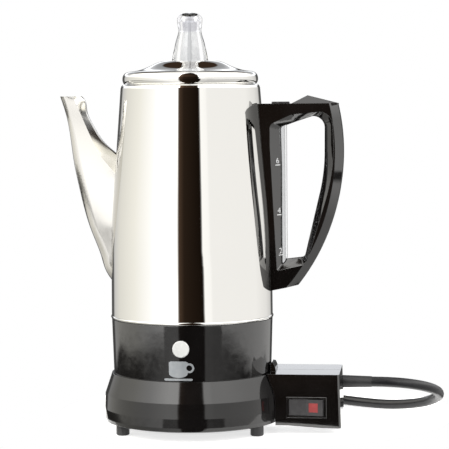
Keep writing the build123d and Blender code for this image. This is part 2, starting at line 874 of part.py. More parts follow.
with BuildPart() as spreader:
    with BuildSketch(Plane.XY.offset(spreader_base)):
        Circle(basket_radius + 1.6)
    extrude(amount=2.4)
    with BuildSketch(Plane.XY.offset(spreader_base + steel)):
        Circle(basket_radius + 1.6 - steel)
    extrude(amount=2.4, mode=Mode.SUBTRACT)
    with BuildSketch(Plane.XY.offset(spreader_base - 1)):
        Circle(hub_radius)
        for hole_circle, hole_count in ((9, 10), (15, 18), (21, 24), (27, 30), (33, 36)):
            with PolarLocations(hole_circle, hole_count):
                Circle(1.0)
    extrude(amount=3, mode=Mode.SUBTRACT)
keep(spreader, "spreader")

# ---------------------------------------------------------------- mains connector
connector_face = turned([
    (0, 0),
    (ring_radius + 0.4, 0),
    (ring_radius + 0.4, ring_bottom + 9.6),
    (ring_shoulder_radius + 0.4, ring_shoulder_height),
    (ring_top_radius + 0.5, ring_top),
    (ring_top_radius + 0.5, ring_top + 0.4),
    (collar_bottom_radius + 1.2, ring_top + 0.4),
    (collar_bottom_radius + 1.2, 60),
    (0, 60),
])
nose_half_width = inlet_half_width - inlet_wall - clear
nose_half_height = inlet_half_height - inlet_wall - clear
nose_tip = inlet_floor + 2.5 + 0.5
nose_back = 64.4
screw_places = ((69.6, 34.2), (94.6, 11.8))
screw_shank = 1.5
screw_head = 2.8
screw_depth = 10.5              # depth of the threaded holes in the front half
boss_radius = 3.1
switch_cut = (25.2, 12.4)
switch_flange = (26.8, 14.0)
switch_flange_height = 0.6


def connector_half(side):
    """One half of the connector's case: side -1 is the front half, 1 the rear half."""
    with BuildPart() as half:
        with BuildSketch(Plane.XZ):
            with BuildLine():
                Polyline((50, 5.9), (66, 5.9), (88, 4.4), (case_end + 0.5, 4.2),
                         (case_end - 0.7, 46.5), (50, 46.5), close=True)
            make_face()
        extrude(amount=case_half_width, both=True)
        with BuildSketch(Plane.YZ.offset(50)):
            with BuildLine():
                Polyline((-case_half_width, 0), (-case_half_width, case_top_front),
                         (case_half_width, case_top_rear), (case_half_width, 0), close=True)
            make_face()
        extrude(amount=60, mode=Mode.INTERSECT)
        chamfer(half.edges().filter_by(lambda edge: edge.center().X > case_end - 1
                                       and abs(edge.center().Y) > case_half_width - 1), 1.2)
        with BuildSketch(Plane.XZ):
            with BuildLine():
                Polyline((52, case_top_front - 1), (57.4, case_top_front - 1), (56.6, 43.5), (55.4, 46.2),
                         (52, 46.6), close=True)
            make_face()
        extrude(amount=8, both=True)
        # hollow inside, then the bosses of the two screws
        cavity_length = case_end - case_wall - case_front_wall
        with BuildSketch(Plane.XZ):
            with Locations((case_front_wall + cavity_length / 2, 22.9)):
                Rectangle(cavity_length, 29.6)
        extrude(amount=case_half_width - case_wall, both=True, mode=Mode.SUBTRACT)
        with BuildSketch(Plane.XZ.offset(-side * case_half_width)):
            with Locations(*screw_places):
                Circle(boss_radius)
        extrude(amount=side * case_half_width)
        with BuildSketch(Plane.XZ):
            with Locations(*screw_places):
                Circle(screw_shank)
        extrude(amount=screw_depth if side < 0 else -case_half_width, mode=Mode.SUBTRACT)
        # window of the nose and the way in of the cord
        with BuildSketch(Plane.YZ.offset(nose_tip)):
            with Locations((0, inlet_height)):
                Rectangle(2 * nose_half_width, 2 * nose_half_height)
        extrude(amount=nose_back - nose_tip, mode=Mode.SUBTRACT)
        with BuildSketch(Plane.YZ.offset(case_end - case_wall - 1)):
            with Locations((0, cord_exit_height)):
                Circle(3.9)
        extrude(amount=6, mode=Mode.SUBTRACT)
        add(connector_face.part, mode=Mode.SUBTRACT)
        split(bisect_by=Plane.XZ, keep=Keep.TOP if side < 0 else Keep.BOTTOM)
    return half


connector_front = connector_half(-1)
with BuildPart() as connector_front_shell:
    add(connector_front.part)
    with BuildSketch(Plane.XZ.offset(case_half_width - case_wall - 1)):
        with Locations((switch_x, switch_z)):
            Rectangle(*switch_cut)
    extrude(amount=10, mode=Mode.SUBTRACT)
keep(connector_front_shell, "connector_front_shell")

connector_rear = connector_half(1)
with BuildPart() as connector_rear_shell:
    add(connector_rear.part)
    with BuildSketch(Plane.XZ.offset(-case_half_width - 1)):
        with Locations(*screw_places):
            Circle(screw_head)
    extrude(amount=3.0, mode=Mode.SUBTRACT)
keep(connector_rear_shell, "connector_rear_shell")

with BuildPart() as connector_screws:
    with BuildSketch(Plane.XZ.offset(-case_half_width + 2.0)):
        with Locations(*screw_places):
            Circle(screw_head)
    extrude(amount=-1.6)
    with BuildSketch(Plane.XZ.offset(-case_half_width + 2.0)):
        with Locations(*screw_places):
            Circle(screw_shank)
    extrude(amount=case_half_width - 2.0 + screw_depth)
keep(connector_screws, "connector_screws")

with BuildPart() as socket_insert:
    with BuildSketch(Plane.YZ.offset(nose_tip)):
        with Locations((0, inlet_height)):
            Rectangle(2 * nose_half_width, 2 * nose_half_height)
    extrude(amount=nose_back - nose_tip)
    with BuildSketch(Plane.YZ.offset(nose_tip)):
        with Locations(*inlet_pins_yz):
            Circle(pin_radius + clear)
    extrude(amount=nose_back - nose_tip, mode=Mode.SUBTRACT)
keep(socket_insert, "socket_insert")

contact_front = inlet_tip + 1.0
with BuildPart() as connector_contacts:
    with BuildSketch(Plane.YZ.offset(contact_front)):
        with Locations(*inlet_pins_yz):
            Circle(pin_radius + clear)
    extrude(amount=nose_back + 0.3 - contact_front)
keep(connector_contacts, "connector_contacts")

face_y = case_half_width
pivot_y = face_y - 1.2
with BuildPart() as switch_body:
    with BuildSketch(Plane.XZ.offset(face_y)):
        with Locations((switch_x, switch_z)):
            Rectangle(*switch_flange)
    extrude(amount=switch_flange_height)
    chamfer(switch_body.edges().group_by(Axis.Y)[0], 0.3)
    with BuildSketch(Plane.XZ.offset(face_y - 17)):
        with Locations((switch_x, switch_z)):
            Rectangle(*switch_cut)
    extrude(amount=17)
    with BuildSketch(Plane.XZ.offset(face_y - 6.4)):
        with Locations((switch_x, switch_z)):
            Rectangle(rocker_length + 2 * clear + 0.2, rocker_height + 2 * clear)
    extrude(amount=12, mode=Mode.SUBTRACT)
keep(switch_body, "switch_body")

half_length = rocker_length / 2
rocker_valley = 1.5             # depth of the dished front in front of the pivot
rocker_lip = rocker_valley + half_length * tan(radians(rocker_tilt)) - 0.35
rocker_back = 3.0
rocker_plane = Plane(
    origin=(switch_x, -pivot_y, switch_z - rocker_height / 2), x_dir=(1, 0, 0), z_dir=(0, 0, 1)
).rotated((0, 0, -rocker_tilt))


def rocker_block(low, high):
    """A slice of the rocker between two heights, its ends round about the pivot."""
    lip_x = sqrt(half_length ** 2 - rocker_lip ** 2)
    back_x = sqrt(half_length ** 2 - rocker_back ** 2)
    with BuildPart() as block:
        with BuildSketch(rocker_plane.offset(low)):
            with BuildLine():
                Polyline((-lip_x, -rocker_lip), (0, -rocker_valley), (lip_x, -rocker_lip))
                ThreePointArc((lip_x, -rocker_lip), (half_length, 0), (back_x, rocker_back))
                Line((back_x, rocker_back), (-back_x, rocker_back))
                ThreePointArc((-back_x, rocker_back), (-half_length, 0), (-lip_x, -rocker_lip))
            make_face()
        extrude(amount=high - low)
    return block


window_low = 2.3
window_high = rocker_height - 2.3
window_middle = 4.9
window_length = 6.2
with BuildPart() as rocker_window:
    add(rocker_block(window_low, window_high).part)
    with BuildSketch(rocker_plane.offset(window_low)):
        with Locations((window_middle, -3.0)):
            Rectangle(window_length, 3.2)
    extrude(amount=window_high - window_low, mode=Mode.INTERSECT)
keep(rocker_window, "rocker_window")

with BuildPart() as switch_rocker:
    add(rocker_block(0, rocker_height).part)
    add(rocker_window.part, mode=Mode.SUBTRACT)
keep(switch_rocker, "switch_rocker")

cord_start = case_end + boot_length
with BuildPart() as strain_relief:
    with BuildSketch(Plane.XZ):
        with BuildLine():
            Polyline(
                (case_end - case_wall - 2.2, cord_exit_height),
                (case_end - case_wall - 2.2, cord_exit_height + 4.3),
                (case_end - case_wall, cord_exit_height + 4.3),
                (case_end - case_wall, cord_exit_height + 3.9),
                (case_end + 0.4, cord_exit_height + 3.9),
                (case_end + 0.8, cord_exit_height + 4.2),
                (cord_start, cord_exit_height + cord_radius + 0.2),
                (cord_start, cord_exit_height),
                close=True,
            )
        make_face()
    revolve(axis=Axis((0, 0, cord_exit_height), (1, 0, 0)))
keep(strain_relief, "strain_relief")

# ---------------------------------------------------------------- cord
lead_route = [
    (cord_start, 0, cord_exit_height),
    (133, 0, cord_exit_height),
    (149, 5.8, 31.0),
    (160.6, 18.2, 26.6),
    (165.3, 34.5, 20.8),
    (162, 51.2, 14.6),
    (150.9, 65.4, 9.0),
    (129.5, 83.4, 4.6),
    (107.6, 100.8, 3.6),
    (85.4, 117.8, 3.5),
    (62.9, 134.5, 3.5),
]
tail_route = [
    (38, 143, 10.4),
    (26, 142.4, 11.2),
    (14, 139.8, 15.9),
    (plug_tail_x, plug_axis_y, plug_axis_z),
]


def bend_radii(route):
    """Radius of the arc at each inner point: as large as its two runs allow."""
    radii = []
    for before, here, after in zip(route, route[1:], route[2:]):
        run_in = Vector(*here) - Vector(*before)
        run_out = Vector(*after) - Vector(*here)
        turn = radians(run_in.get_angle(run_out))
        radii.append(0.45 * min(run_in.length, run_out.length) / tan(turn / 2))
    return radii


def cord_tube(route):
    """A round cord of straight runs joined by tangent arcs."""
    radii = bend_radii(route)
    print("bend radii, mm:", [round(radius, 1) for radius in radii])
    with BuildPart() as tube:
        with BuildLine() as path:
            FilletPolyline(*route, radius=radii)
        with BuildSketch(Plane(origin=path.line @ 0, z_dir=path.line % 0)):
            Circle(cord_radius)
        sweep(path=path.line)
    length = sum(edge.length for edge in path.edges())
    share = tube.part.volume / (pi * cord_radius ** 2 * length)
    print("cord tube:", round(length, 1), "mm, volume over section times length:", round(share, 4))
    return tube


with BuildPart() as cord_coil:
    with BuildSketch(Plane.XY):
        with Locations(coil_centre):
            Circle(coil_outer)
            Circle(coil_inner, mode=Mode.SUBTRACT)
    extrude(amount=coil_height)
    fillet(cord_coil.edges(), 2.5)
keep(cord_coil, "cord_coil")

lead_tube = cord_tube(lead_route)
with BuildPart() as cord:
    add(lead_tube.part)
    add(cord_coil.part, mode=Mode.SUBTRACT)
keep(cord, "cord")

# ---------------------------------------------------------------- plug
plug_face = plug_tail_x - 52.0
with BuildPart() as plug_body:
    with BuildSketch(Plane.XZ):
        with BuildLine():
            Polyline(
                (plug_tail_x, plug_axis_z),
                (plug_tail_x, plug_axis_z + 4.4),
                (plug_tail_x - 14, plug_axis_z + 6.4),
                (plug_tail_x - 18, plug_axis_z + 11.0),
                (plug_tail_x - 30, plug_axis_z + 14.4),
                (plug_tail_x - 34, plug_axis_z + plug_radius),
                (plug_face + 1, plug_axis_z + plug_radius),
                (plug_face, plug_axis_z + plug_radius - 1),
                (plug_face, plug_axis_z),
                close=True,
            )
        make_face()
    revolve(axis=Axis((0, 0, plug_axis_z), (1, 0, 0)))
plug_body.part.position += (0, plug_axis_y, 0)
keep(plug_body, "plug_body")

tail_tube = cord_tube(tail_route)
with BuildPart() as cord_tail:
    add(tail_tube.part)
    add(cord_coil.part, mode=Mode.SUBTRACT)
    add(plug_body.part, mode=Mode.SUBTRACT)
keep(cord_tail, "cord_tail")

with BuildPart() as plug_pins:
    with BuildSketch(Plane.YZ.offset(plug_face - plug_pin_length)):
        with Locations((plug_axis_y, plug_axis_z)):
            with GridLocations(plug_pin_spacing, 1, 2, 1):
                Circle(plug_pin_radius)
    extrude(amount=plug_pin_length)
    chamfer(plug_pins.edges().group_by(Axis.X)[0], 0.8)
keep(plug_pins, "plug_pins")
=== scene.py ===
"""Looks of the electric coffee percolator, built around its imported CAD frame."""

import json
from math import cos, pi, radians, sin

import bmesh
import bpy
from mathutils import Matrix, Quaternion, Vector


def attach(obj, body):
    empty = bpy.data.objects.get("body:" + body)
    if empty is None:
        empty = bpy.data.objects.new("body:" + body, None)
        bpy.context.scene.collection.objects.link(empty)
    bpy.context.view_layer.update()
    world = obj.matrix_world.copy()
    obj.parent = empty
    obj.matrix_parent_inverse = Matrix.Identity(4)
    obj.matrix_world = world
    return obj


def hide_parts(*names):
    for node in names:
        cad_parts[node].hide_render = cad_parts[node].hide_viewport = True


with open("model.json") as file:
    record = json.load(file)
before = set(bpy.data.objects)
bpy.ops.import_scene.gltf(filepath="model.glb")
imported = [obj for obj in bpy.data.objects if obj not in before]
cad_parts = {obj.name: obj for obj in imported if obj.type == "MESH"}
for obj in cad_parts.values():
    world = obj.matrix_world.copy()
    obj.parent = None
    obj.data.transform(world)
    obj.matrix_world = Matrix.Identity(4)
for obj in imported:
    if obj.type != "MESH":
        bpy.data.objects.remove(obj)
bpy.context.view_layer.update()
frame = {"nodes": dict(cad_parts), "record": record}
nodes = frame["nodes"]
scene = bpy.context.scene
MM = 0.001

# ---------------------------------------------------------------- camera
VIEW_AZIMUTH = radians(8.3)
CAMERA_DISTANCE = 1.3
EYE_HEIGHT = 0.222
AIM_HEIGHT = 0.138
AIM_RIGHT = 0.0221
ROLL = radians(-0.45)
SENSOR_WIDTH = 36               # mm
FOCAL_LENGTH = 155.6            # mm
NEAREST = 0.05
FARTHEST = 20

back = Vector((sin(VIEW_AZIMUTH), -cos(VIEW_AZIMUTH), 0))
right = Vector((cos(VIEW_AZIMUTH), sin(VIEW_AZIMUTH), 0))
camera = bpy.data.objects.new("camera", bpy.data.cameras.new("camera"))
scene.collection.objects.link(camera)
scene.camera = camera
camera.data.sensor_width = SENSOR_WIDTH
camera.data.lens = FOCAL_LENGTH
camera.data.clip_start = NEAREST
camera.data.clip_end = FARTHEST
camera.location = back * CAMERA_DISTANCE + Vector((0, 0, EYE_HEIGHT))
sight = right * AIM_RIGHT + Vector((0, 0, AIM_HEIGHT)) - camera.location
camera.rotation_mode = "QUATERNION"
camera.rotation_quaternion = sight.to_track_quat("-Z", "Y") @ Quaternion((0, 0, 1), ROLL)

# ---------------------------------------------------------------- shader helpers
NOISE_LOW = 0.3                 # the part of the noise's range that is stretched over a look's range
NOISE_HIGH = 0.7
BLOTCH_GRAIN = 0.21             # the colour's blotches, against the grain of the gloss
BLOTCH_DETAIL = 2.0
GRAIN_DETAIL = 4.0
RELIEF_DETAIL = 3.0
BEVEL_SAMPLES = 4
HEAD_STARTS = 0.2668            # heights over which the clear knob's tint changes
HEAD_FULL = 0.2672
looks = {}


def field(tree, scale, detail, stretch):
    """Noise over the piece, from 0 to 1."""
    coordinates = tree.nodes.new("ShaderNodeTexCoord")
    mapping = tree.nodes.new("ShaderNodeMapping")
    mapping.inputs["Scale"].default_value = stretch
    texture = tree.nodes.new("ShaderNodeTexNoise")
    texture.inputs["Scale"].default_value = scale
    texture.inputs["Detail"].default_value = detail
    tree.links.new(coordinates.outputs["Object"], mapping.inputs["Vector"])
    tree.links.new(mapping.outputs["Vector"], texture.inputs["Vector"])
    return texture.outputs["Fac"]


def spread(tree, value, low, high, value_low=NOISE_LOW, value_high=NOISE_HIGH):
    """A value stretched over a range."""
    node = tree.nodes.new("ShaderNodeMapRange")
    node.inputs["From Min"].default_value = value_low
    node.inputs["From Max"].default_value = value_high
    node.inputs["To Min"].default_value = low
    node.inputs["To Max"].default_value = high
    tree.links.new(value, node.inputs["Value"])
    return node.outputs["Result"]


def between(tree, share, first, second):
    """Two colours mixed by a share."""
    node = tree.nodes.new("ShaderNodeMix")
    node.data_type = "RGBA"
    node.inputs["A"].default_value = (*first, 1)
    node.inputs["B"].default_value = (*second, 1)
    tree.links.new(share, node.inputs["Factor"])
    return node.outputs["Result"]


def blotch_share(tree, grain, stretch):
    """How the first tint gives way to the second, in soft blotches."""
    return spread(tree, field(tree, grain * BLOTCH_GRAIN, BLOTCH_DETAIL, stretch), 0, 1)


def head_share(tree, *_):
    """How the first tint gives way to the second, from the knob's skirt to its greyer head."""
    place = tree.nodes.new("ShaderNodeSeparateXYZ")
    tree.links.new(tree.nodes.new("ShaderNodeTexCoord").outputs["Object"], place.inputs[0])
    return spread(tree, place.outputs["Z"], 0, 1, HEAD_STARTS, HEAD_FULL)


def surface(name, tints, rough, grain, relief=None, stretch=(1, 1, 1), edge=0.0, tint_share=blotch_share,
            **sockets):
    """A material whose colour, gloss and fine relief vary over the surface, kept in looks."""
    made = bpy.data.materials.new(name)
    made.use_nodes = True
    tree = made.node_tree
    shader = tree.nodes["Principled BSDF"]
    for socket, value in sockets.items():
        shader.inputs[socket.replace("_", " ")].default_value = value
    tree.links.new(between(tree, tint_share(tree, grain, stretch), *tints), shader.inputs["Base Color"])
    fine = field(tree, grain, GRAIN_DETAIL, stretch)
    tree.links.new(spread(tree, fine, *rough), shader.inputs["Roughness"])
    normal = None
    if edge:
        rounded = tree.nodes.new("ShaderNodeBevel")
        rounded.samples = BEVEL_SAMPLES
        rounded.inputs["Radius"].default_value = edge
        normal = rounded.outputs["Normal"]
    if relief:
        scale, height = relief
        bump = tree.nodes.new("ShaderNodeBump")
        bump.inputs["Strength"].default_value = 1.0
        bump.inputs["Distance"].default_value = height
        tree.links.new(field(tree, scale, RELIEF_DETAIL, stretch), bump.inputs["Height"])
        if normal:
            tree.links.new(normal, bump.inputs["Normal"])
        normal = bump.outputs["Normal"]
    if normal:
        tree.links.new(normal, shader.inputs["Normal"])
    looks[name] = made
    return made


# ---------------------------------------------------------------- looks: two tints, roughness range, grain
surface("polished_steel", ((0.655, 0.65, 0.63), (0.67, 0.662, 0.64)), (0.015, 0.045), 60,
        relief=(14, 0.00002), Metallic=1.0)
surface("satin_steel", ((0.56, 0.555, 0.54), (0.62, 0.61, 0.6)), (0.18, 0.32), 700,
        relief=(900, 0.00001), stretch=(1, 1, 0.08), Metallic=1.0)
surface("gloss_black", ((0.003, 0.0026, 0.0025), (0.005, 0.0045, 0.0045)), (0.035, 0.075), 260,
        relief=(90, 0.000012), edge=0.0004, Specular_IOR_Level=0.9, IOR=1.56)
surface("ring_black", ((0.003, 0.0026, 0.0025), (0.005, 0.0045, 0.0045)), (0.05, 0.09), 260,
        relief=(90, 0.000012), edge=0.0004, Specular_IOR_Level=0.5)
surface("satin_black", ((0.012, 0.011, 0.012), (0.02, 0.019, 0.02)), (0.28, 0.42), 1500,
        relief=(2600, 0.00003), edge=0.0004)
surface("rocker_grey", ((0.022, 0.021, 0.022), (0.032, 0.031, 0.032)), (0.4, 0.52), 1500,
        relief=(2600, 0.00003), edge=0.0004, Specular_IOR_Level=0.3)
surface("rubber_black", ((0.008, 0.008, 0.009), (0.014, 0.014, 0.015)), (0.4, 0.55), 900,
        relief=(1800, 0.00003), edge=0.0003)
surface("clear", ((0.985, 0.99, 0.995), (0.9, 0.9, 0.925)), (0.0, 0.02), 120,
        relief=(40, 0.00001), tint_share=head_share, Transmission_Weight=1.0, IOR=1.49)
surface("lens_white", ((0.55, 0.56, 0.55), (0.6, 0.605, 0.595)), (0.2, 0.3), 500,
        relief=(700, 0.00001), edge=0.0003)
surface("emblem_silver", ((0.25, 0.27, 0.285), (0.3, 0.315, 0.33)), (0.3, 0.45), 900,
        relief=(1500, 0.000008), Metallic=0.25)
surface("silicone", ((0.6, 0.58, 0.54), (0.68, 0.66, 0.62)), (0.4, 0.55), 500,
        relief=(900, 0.00002), edge=0.0003)
surface("aluminium", ((0.55, 0.55, 0.56), (0.66, 0.66, 0.67)), (0.35, 0.55), 800,
        relief=(1200, 0.00006), Metallic=1.0)
surface("brass", ((0.58, 0.42, 0.17), (0.68, 0.52, 0.24)), (0.2, 0.38), 700,
        relief=(1200, 0.00002), Metallic=1.0)
surface("nickel", ((0.62, 0.6, 0.56), (0.7, 0.68, 0.64)), (0.1, 0.22), 700,
        relief=(1500, 0.00001), stretch=(0.08, 1, 1), Metallic=1.0)
surface("red_window", ((0.19, 0.02, 0.02), (0.26, 0.035, 0.035)), (0.3, 0.4), 500,
        relief=(300, 0.00003), edge=0.0003, Specular_IOR_Level=0.3)
surface("cord_black", ((0.006, 0.006, 0.007), (0.011, 0.011, 0.013)), (0.26, 0.38), 1200,
        relief=(2400, 0.00003), Specular_IOR_Level=0.35)
surface("wire_red", ((0.3, 0.02, 0.015), (0.42, 0.04, 0.03)), (0.4, 0.6), 1500,
        relief=(3000, 0.00008), edge=0.0002)
surface("marking_white", ((0.62, 0.63, 0.64), (0.72, 0.73, 0.74)), (0.4, 0.55), 2500,
        relief=(4000, 0.000005))
# the spout's steel: the pot's polished steel with a darker tint, which is painted shade to dim the spout's
# reflections, and a duller gloss
surface("spout_steel_painted_shade", ((0.56, 0.55, 0.525), (0.585, 0.573, 0.548)), (0.12, 0.17), 60,
        relief=(14, 0.00002), Metallic=1.0)

# the spout takes the darker copy of the steel, with its painted shade
OWN_LOOKS = {"spout": "spout_steel_painted_shade"}
for row in frame["record"]["subparts"]:
    mesh = nodes[row["node"]].data
    mesh.materials.clear()
    mesh.materials.append(looks[OWN_LOOKS.get(row["node"], row["material_slot"])])


# ---------------------------------------------------------------- piece helpers
def add_piece(name, mesh, look, body, replaced=()):
    """Put a finished mesh or curve in the scene, on its CAD body."""
    piece = bpy.data.objects.new(name, mesh)
    scene.collection.objects.link(piece)
    mesh.materials.append(looks[look])
    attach(piece, body)
    if replaced:
        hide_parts(*replaced)
    return piece


def smooth_step(value, low, high):
    """0 below low, 1 above high, and a smooth rise between them."""
    share = min(1.0, max(0.0, (value - low) / (high - low)))
    return share * share * (3 - 2 * share)


# ---------------------------------------------------------------- cord, in mm
CORD_DIAMETER = 0.0068          # metres
LEAD_ROUTE = (
    (120.4, 0, 33.3),
    (133, 0, 33.3),
    (149, 5.8, 31.0),
    (160.6, 18.2, 26.6),
    (165.3, 34.5, 20.8),
    (162, 51.2, 14.6),
    (150.9, 65.4, 9.0),
    (129.5, 83.4, 4.6),
    (107.6, 100.8, 3.6),
    (85.4, 117.8, 3.5),
    (62.9, 134.5, 3.5),
)
TAIL_ROUTE = (
    (38, 143, 10.4),
    (26, 142.4, 11.2),
    (14, 139.8, 15.9),
    (2, 138.5, 18.6),
)
COIL_CENTRE = (38.0, 102.0)
COIL_START = 52.5               # direction of the lead's last point, degrees
COIL_SWEEP = 1117.5             # degrees from there to the tail's first point
COIL_POINTS = 43
GOES_IN = (235, 360)            # degrees of sweep over which the turns change
GOES_UP = (450, 580)
GOES_OUT = (757, 877)
OUTER_TURN = 41.0
INNER_TURN = 34.1
LOW_TURN = 3.5
HIGH_TURN = 10.35
TURN_SPREAD = 1.02              # a control point lies a little outside its turn
CORD_SIDES = 6                  # bevel resolution
CORD_STEPS = 10                 # steps between control points


def coil_points():
    """Three turns and a bit: round the outside, in, up, and back out."""
    points = []
    for number in range(1, COIL_POINTS):
        sweep = COIL_SWEEP * number / COIL_POINTS
        inward = smooth_step(sweep, *GOES_IN) - smooth_step(sweep, *GOES_OUT)
        radius = (OUTER_TURN + (INNER_TURN - OUTER_TURN) * inward) * TURN_SPREAD
        height = LOW_TURN + (HIGH_TURN - LOW_TURN) * smooth_step(sweep, *GOES_UP)
        angle = radians(COIL_START + sweep)
        points.append((COIL_CENTRE[0] + radius * cos(angle),
                       COIL_CENTRE[1] + radius * sin(angle), height))
    return points


cord_points = [*LEAD_ROUTE, *coil_points(), *TAIL_ROUTE]
cord_line = bpy.data.curves.new("mains_cord", "CURVE")
cord_line.dimensions = "3D"
cord_line.bevel_depth = CORD_DIAMETER / 2
cord_line.bevel_resolution = CORD_SIDES
cord_line.resolution_u = CORD_STEPS
cord_line.use_fill_caps = True
spline = cord_line.splines.new("NURBS")
spline.points.add(len(cord_points) - 1)
for control, place in zip(spline.points, cord_points):
    control.co = (*(value * MM for value in place), 1)
spline.order_u = 3
spline.use_endpoint_u = True
spline.use_smooth = True
mains_cord = add_piece("mains_cord", cord_line, "cord_black", "connector", ("cord", "cord_coil", "cord_tail"))

# ---------------------------------------------------------------- plug shell, turned about X, in mm
PLUG_HEIGHT = 18.6
PLUG_DEPTH = 138.5
PLUG_SIDES = 144
SHARP_ANGLE = radians(38)
GRIP_RADIUS = 18.4
GRIP_STARTS = -47               # first of the grip's rings, a millimetre apart
GRIP_RINGS = 14
RIBS = (-46.5, -33.5)
RIB_COUNT = 36
RIB_DEPTH = 0.45
RIB_FADE = 2.0
GROOVES = 5
GROOVES_START = -11
GROOVE_PITCH = 2.6
TAIL_GIRTH = 6.3
GIRTH_LOSS = 0.37               # from one groove to the next
PLUG_FACE = [(-50, 17.2), (-49.8, 17.9), (-49.2, 18.3), (-48.4, 18.4)]
PLUG_SHOULDER = [(-32.6, 18.3), (-31.6, 17.4), (-30.2, 15.6), (-28.6, 14.5), (-26, 13.9), (-22, 13.0),
                 (-19, 12.0), (-16.8, 10.6), (-15.2, 8.8), (-13.6, 7.2), (-12, 6.5)]
GROOVE_OUTLINE = ((0, 0), (1.1, 0.12), (1.3, 0.8), (2.2, 0.9))      # along the tail, and below its girth
PLUG_END = [(1.6, 4.3), (2, 3.9)]


def lathe_x(name, outline, height, depth, steps, wave):
    """A smooth turned mesh about a line along X at that height and depth, all in mm."""
    mesh = bpy.data.meshes.new(name)
    builder = bmesh.new()
    rings = []
    for place, radius in outline:
        ring = []
        for step in range(steps):
            angle = 2 * pi * step / steps
            reach = radius + wave(place, angle)
            ring.append(builder.verts.new((place * MM, depth * MM + reach * MM * cos(angle),
                                           height * MM + reach * MM * sin(angle))))
        rings.append(ring)
    for low, high in zip(rings, rings[1:]):
        for step in range(steps):
            after = (step + 1) % steps
            builder.faces.new((low[step], low[after], high[after], high[step]))
    builder.faces.new(rings[0][::-1])
    builder.faces.new(rings[-1])
    bmesh.ops.recalc_face_normals(builder, faces=builder.faces)
    builder.to_mesh(mesh)
    builder.free()
    mesh.shade_smooth()
    mesh.set_sharp_from_angle(angle=SHARP_ANGLE)
    return mesh


def plug_ribs(place, angle):
    """How far the surface dips at grip ribs round the wide part of the plug."""
    start, end = RIBS
    if not start < place < end:
        return 0
    depth = RIB_DEPTH * (0.5 + 0.5 * cos(RIB_COUNT * angle))
    rise = smooth_step(place, start, start + RIB_FADE)
    fall = 1 - smooth_step(place, end - RIB_FADE, end)
    return -depth * rise * fall


plug_outline = PLUG_FACE + [(GRIP_STARTS + step, GRIP_RADIUS) for step in range(GRIP_RINGS)] + PLUG_SHOULDER
for groove in range(GROOVES):
    start = GROOVES_START + GROOVE_PITCH * groove
    girth = TAIL_GIRTH - GIRTH_LOSS * groove
    plug_outline += [(start + along, girth - loss) for along, loss in GROOVE_OUTLINE]
plug_outline += PLUG_END
plug_mesh = lathe_x("plug_shell", plug_outline, PLUG_HEIGHT, PLUG_DEPTH, PLUG_SIDES, plug_ribs)
plug_shell = add_piece("plug_shell", plug_mesh, "satin_black", "connector", ("plug_body",))

# ---------------------------------------------------------------- cup marks beside the sight gauge, in mm
CUP_MARKS = (("6", 180.9, 0.68), ("4", 147.8, 0.59), ("2", 121.0, 0.54))    # height, share of the way across
LETTER_SIZE = 5.3 * MM
LETTER_EXTRUDE = 0.02 * MM
BAR_SIZE = (3.6 * MM, 0.62 * MM, 0.04 * MM)
BAR_DROP = 2.7 * MM
MARK_LIFT = 0.06 * MM
WELD_DISTANCE = 1e-7
SPINE_SLOPE = 3.5 / 96          # how the slab's half thickness grows with height
SPINE_ROOT = (94.0, 7.0)        # height and half thickness at the root
SPINE_INNER = ((60.2, 203.0), (63.3, 115.3))    # distance out and height, at the top and at the foot
SPINE_OUTER = ((53.4, 205.4), (58.1, 107.9))
SPINE_INNER_DEPTH = 5.1
SPINE_OUTER_DEPTH = -0.1


def spine_point(height, edge, depth):
    """A point on one edge of the bevelled strip beside the gauge."""
    (top_x, top), (low_x, low) = edge
    half = SPINE_ROOT[1] + (height - SPINE_ROOT[0]) * SPINE_SLOPE
    return Vector((top_x + (low_x - top_x) * (top - height) / (top - low), depth - half, height))


def spine_place(height, share):
    """A place on the strip, and its directions across, up and outward."""
    outer = spine_point(height, SPINE_OUTER, SPINE_OUTER_DEPTH)
    inner = spine_point(height, SPINE_INNER, SPINE_INNER_DEPTH)
    higher = spine_point(height + 1, SPINE_OUTER, SPINE_OUTER_DEPTH).lerp(
        spine_point(height + 1, SPINE_INNER, SPINE_INNER_DEPTH), share)
    place = outer.lerp(inner, share)
    up = (higher - place).normalized()
    outward = (inner - outer).cross(up).normalized()
    return place * MM, up.cross(outward), up, outward


def mark_mesh(name, text, height, share):
    """A numeral with a bar under it, as a thin raised print."""
    middle, across, up, outward = spine_place(height, share)
    letters = bpy.data.curves.new(name + "_line", "FONT")
    letters.body = text
    letters.size = LETTER_SIZE
    letters.align_x = "CENTER"
    letters.align_y = "CENTER"
    letters.extrude = LETTER_EXTRUDE
    carrier = bpy.data.objects.new(name + "_carrier", letters)
    scene.collection.objects.link(carrier)
    bpy.context.view_layer.update()
    mesh = bpy.data.meshes.new_from_object(carrier.evaluated_get(bpy.context.evaluated_depsgraph_get()))
    bpy.data.objects.remove(carrier)
    bpy.data.curves.remove(letters)
    builder = bmesh.new()
    builder.from_mesh(mesh)
    bar = bmesh.ops.create_cube(builder, size=1.0)["verts"]
    bmesh.ops.scale(builder, vec=BAR_SIZE, verts=bar)
    bmesh.ops.translate(builder, vec=(0, -BAR_DROP, 0), verts=bar)
    turn = Matrix((across, up, outward)).transposed().to_4x4()
    turn.translation = middle + outward * MARK_LIFT
    bmesh.ops.transform(builder, matrix=turn, verts=builder.verts)
    bmesh.ops.remove_doubles(builder, verts=builder.verts, dist=WELD_DISTANCE)
    builder.to_mesh(mesh)
    builder.free()
    mesh.materials.clear()
    return mesh


for text, height, share in CUP_MARKS:
    name = f"cup_mark_{text}"
    add_piece(name, mark_mesh(name, text, height, share), "marking_white", "pot")

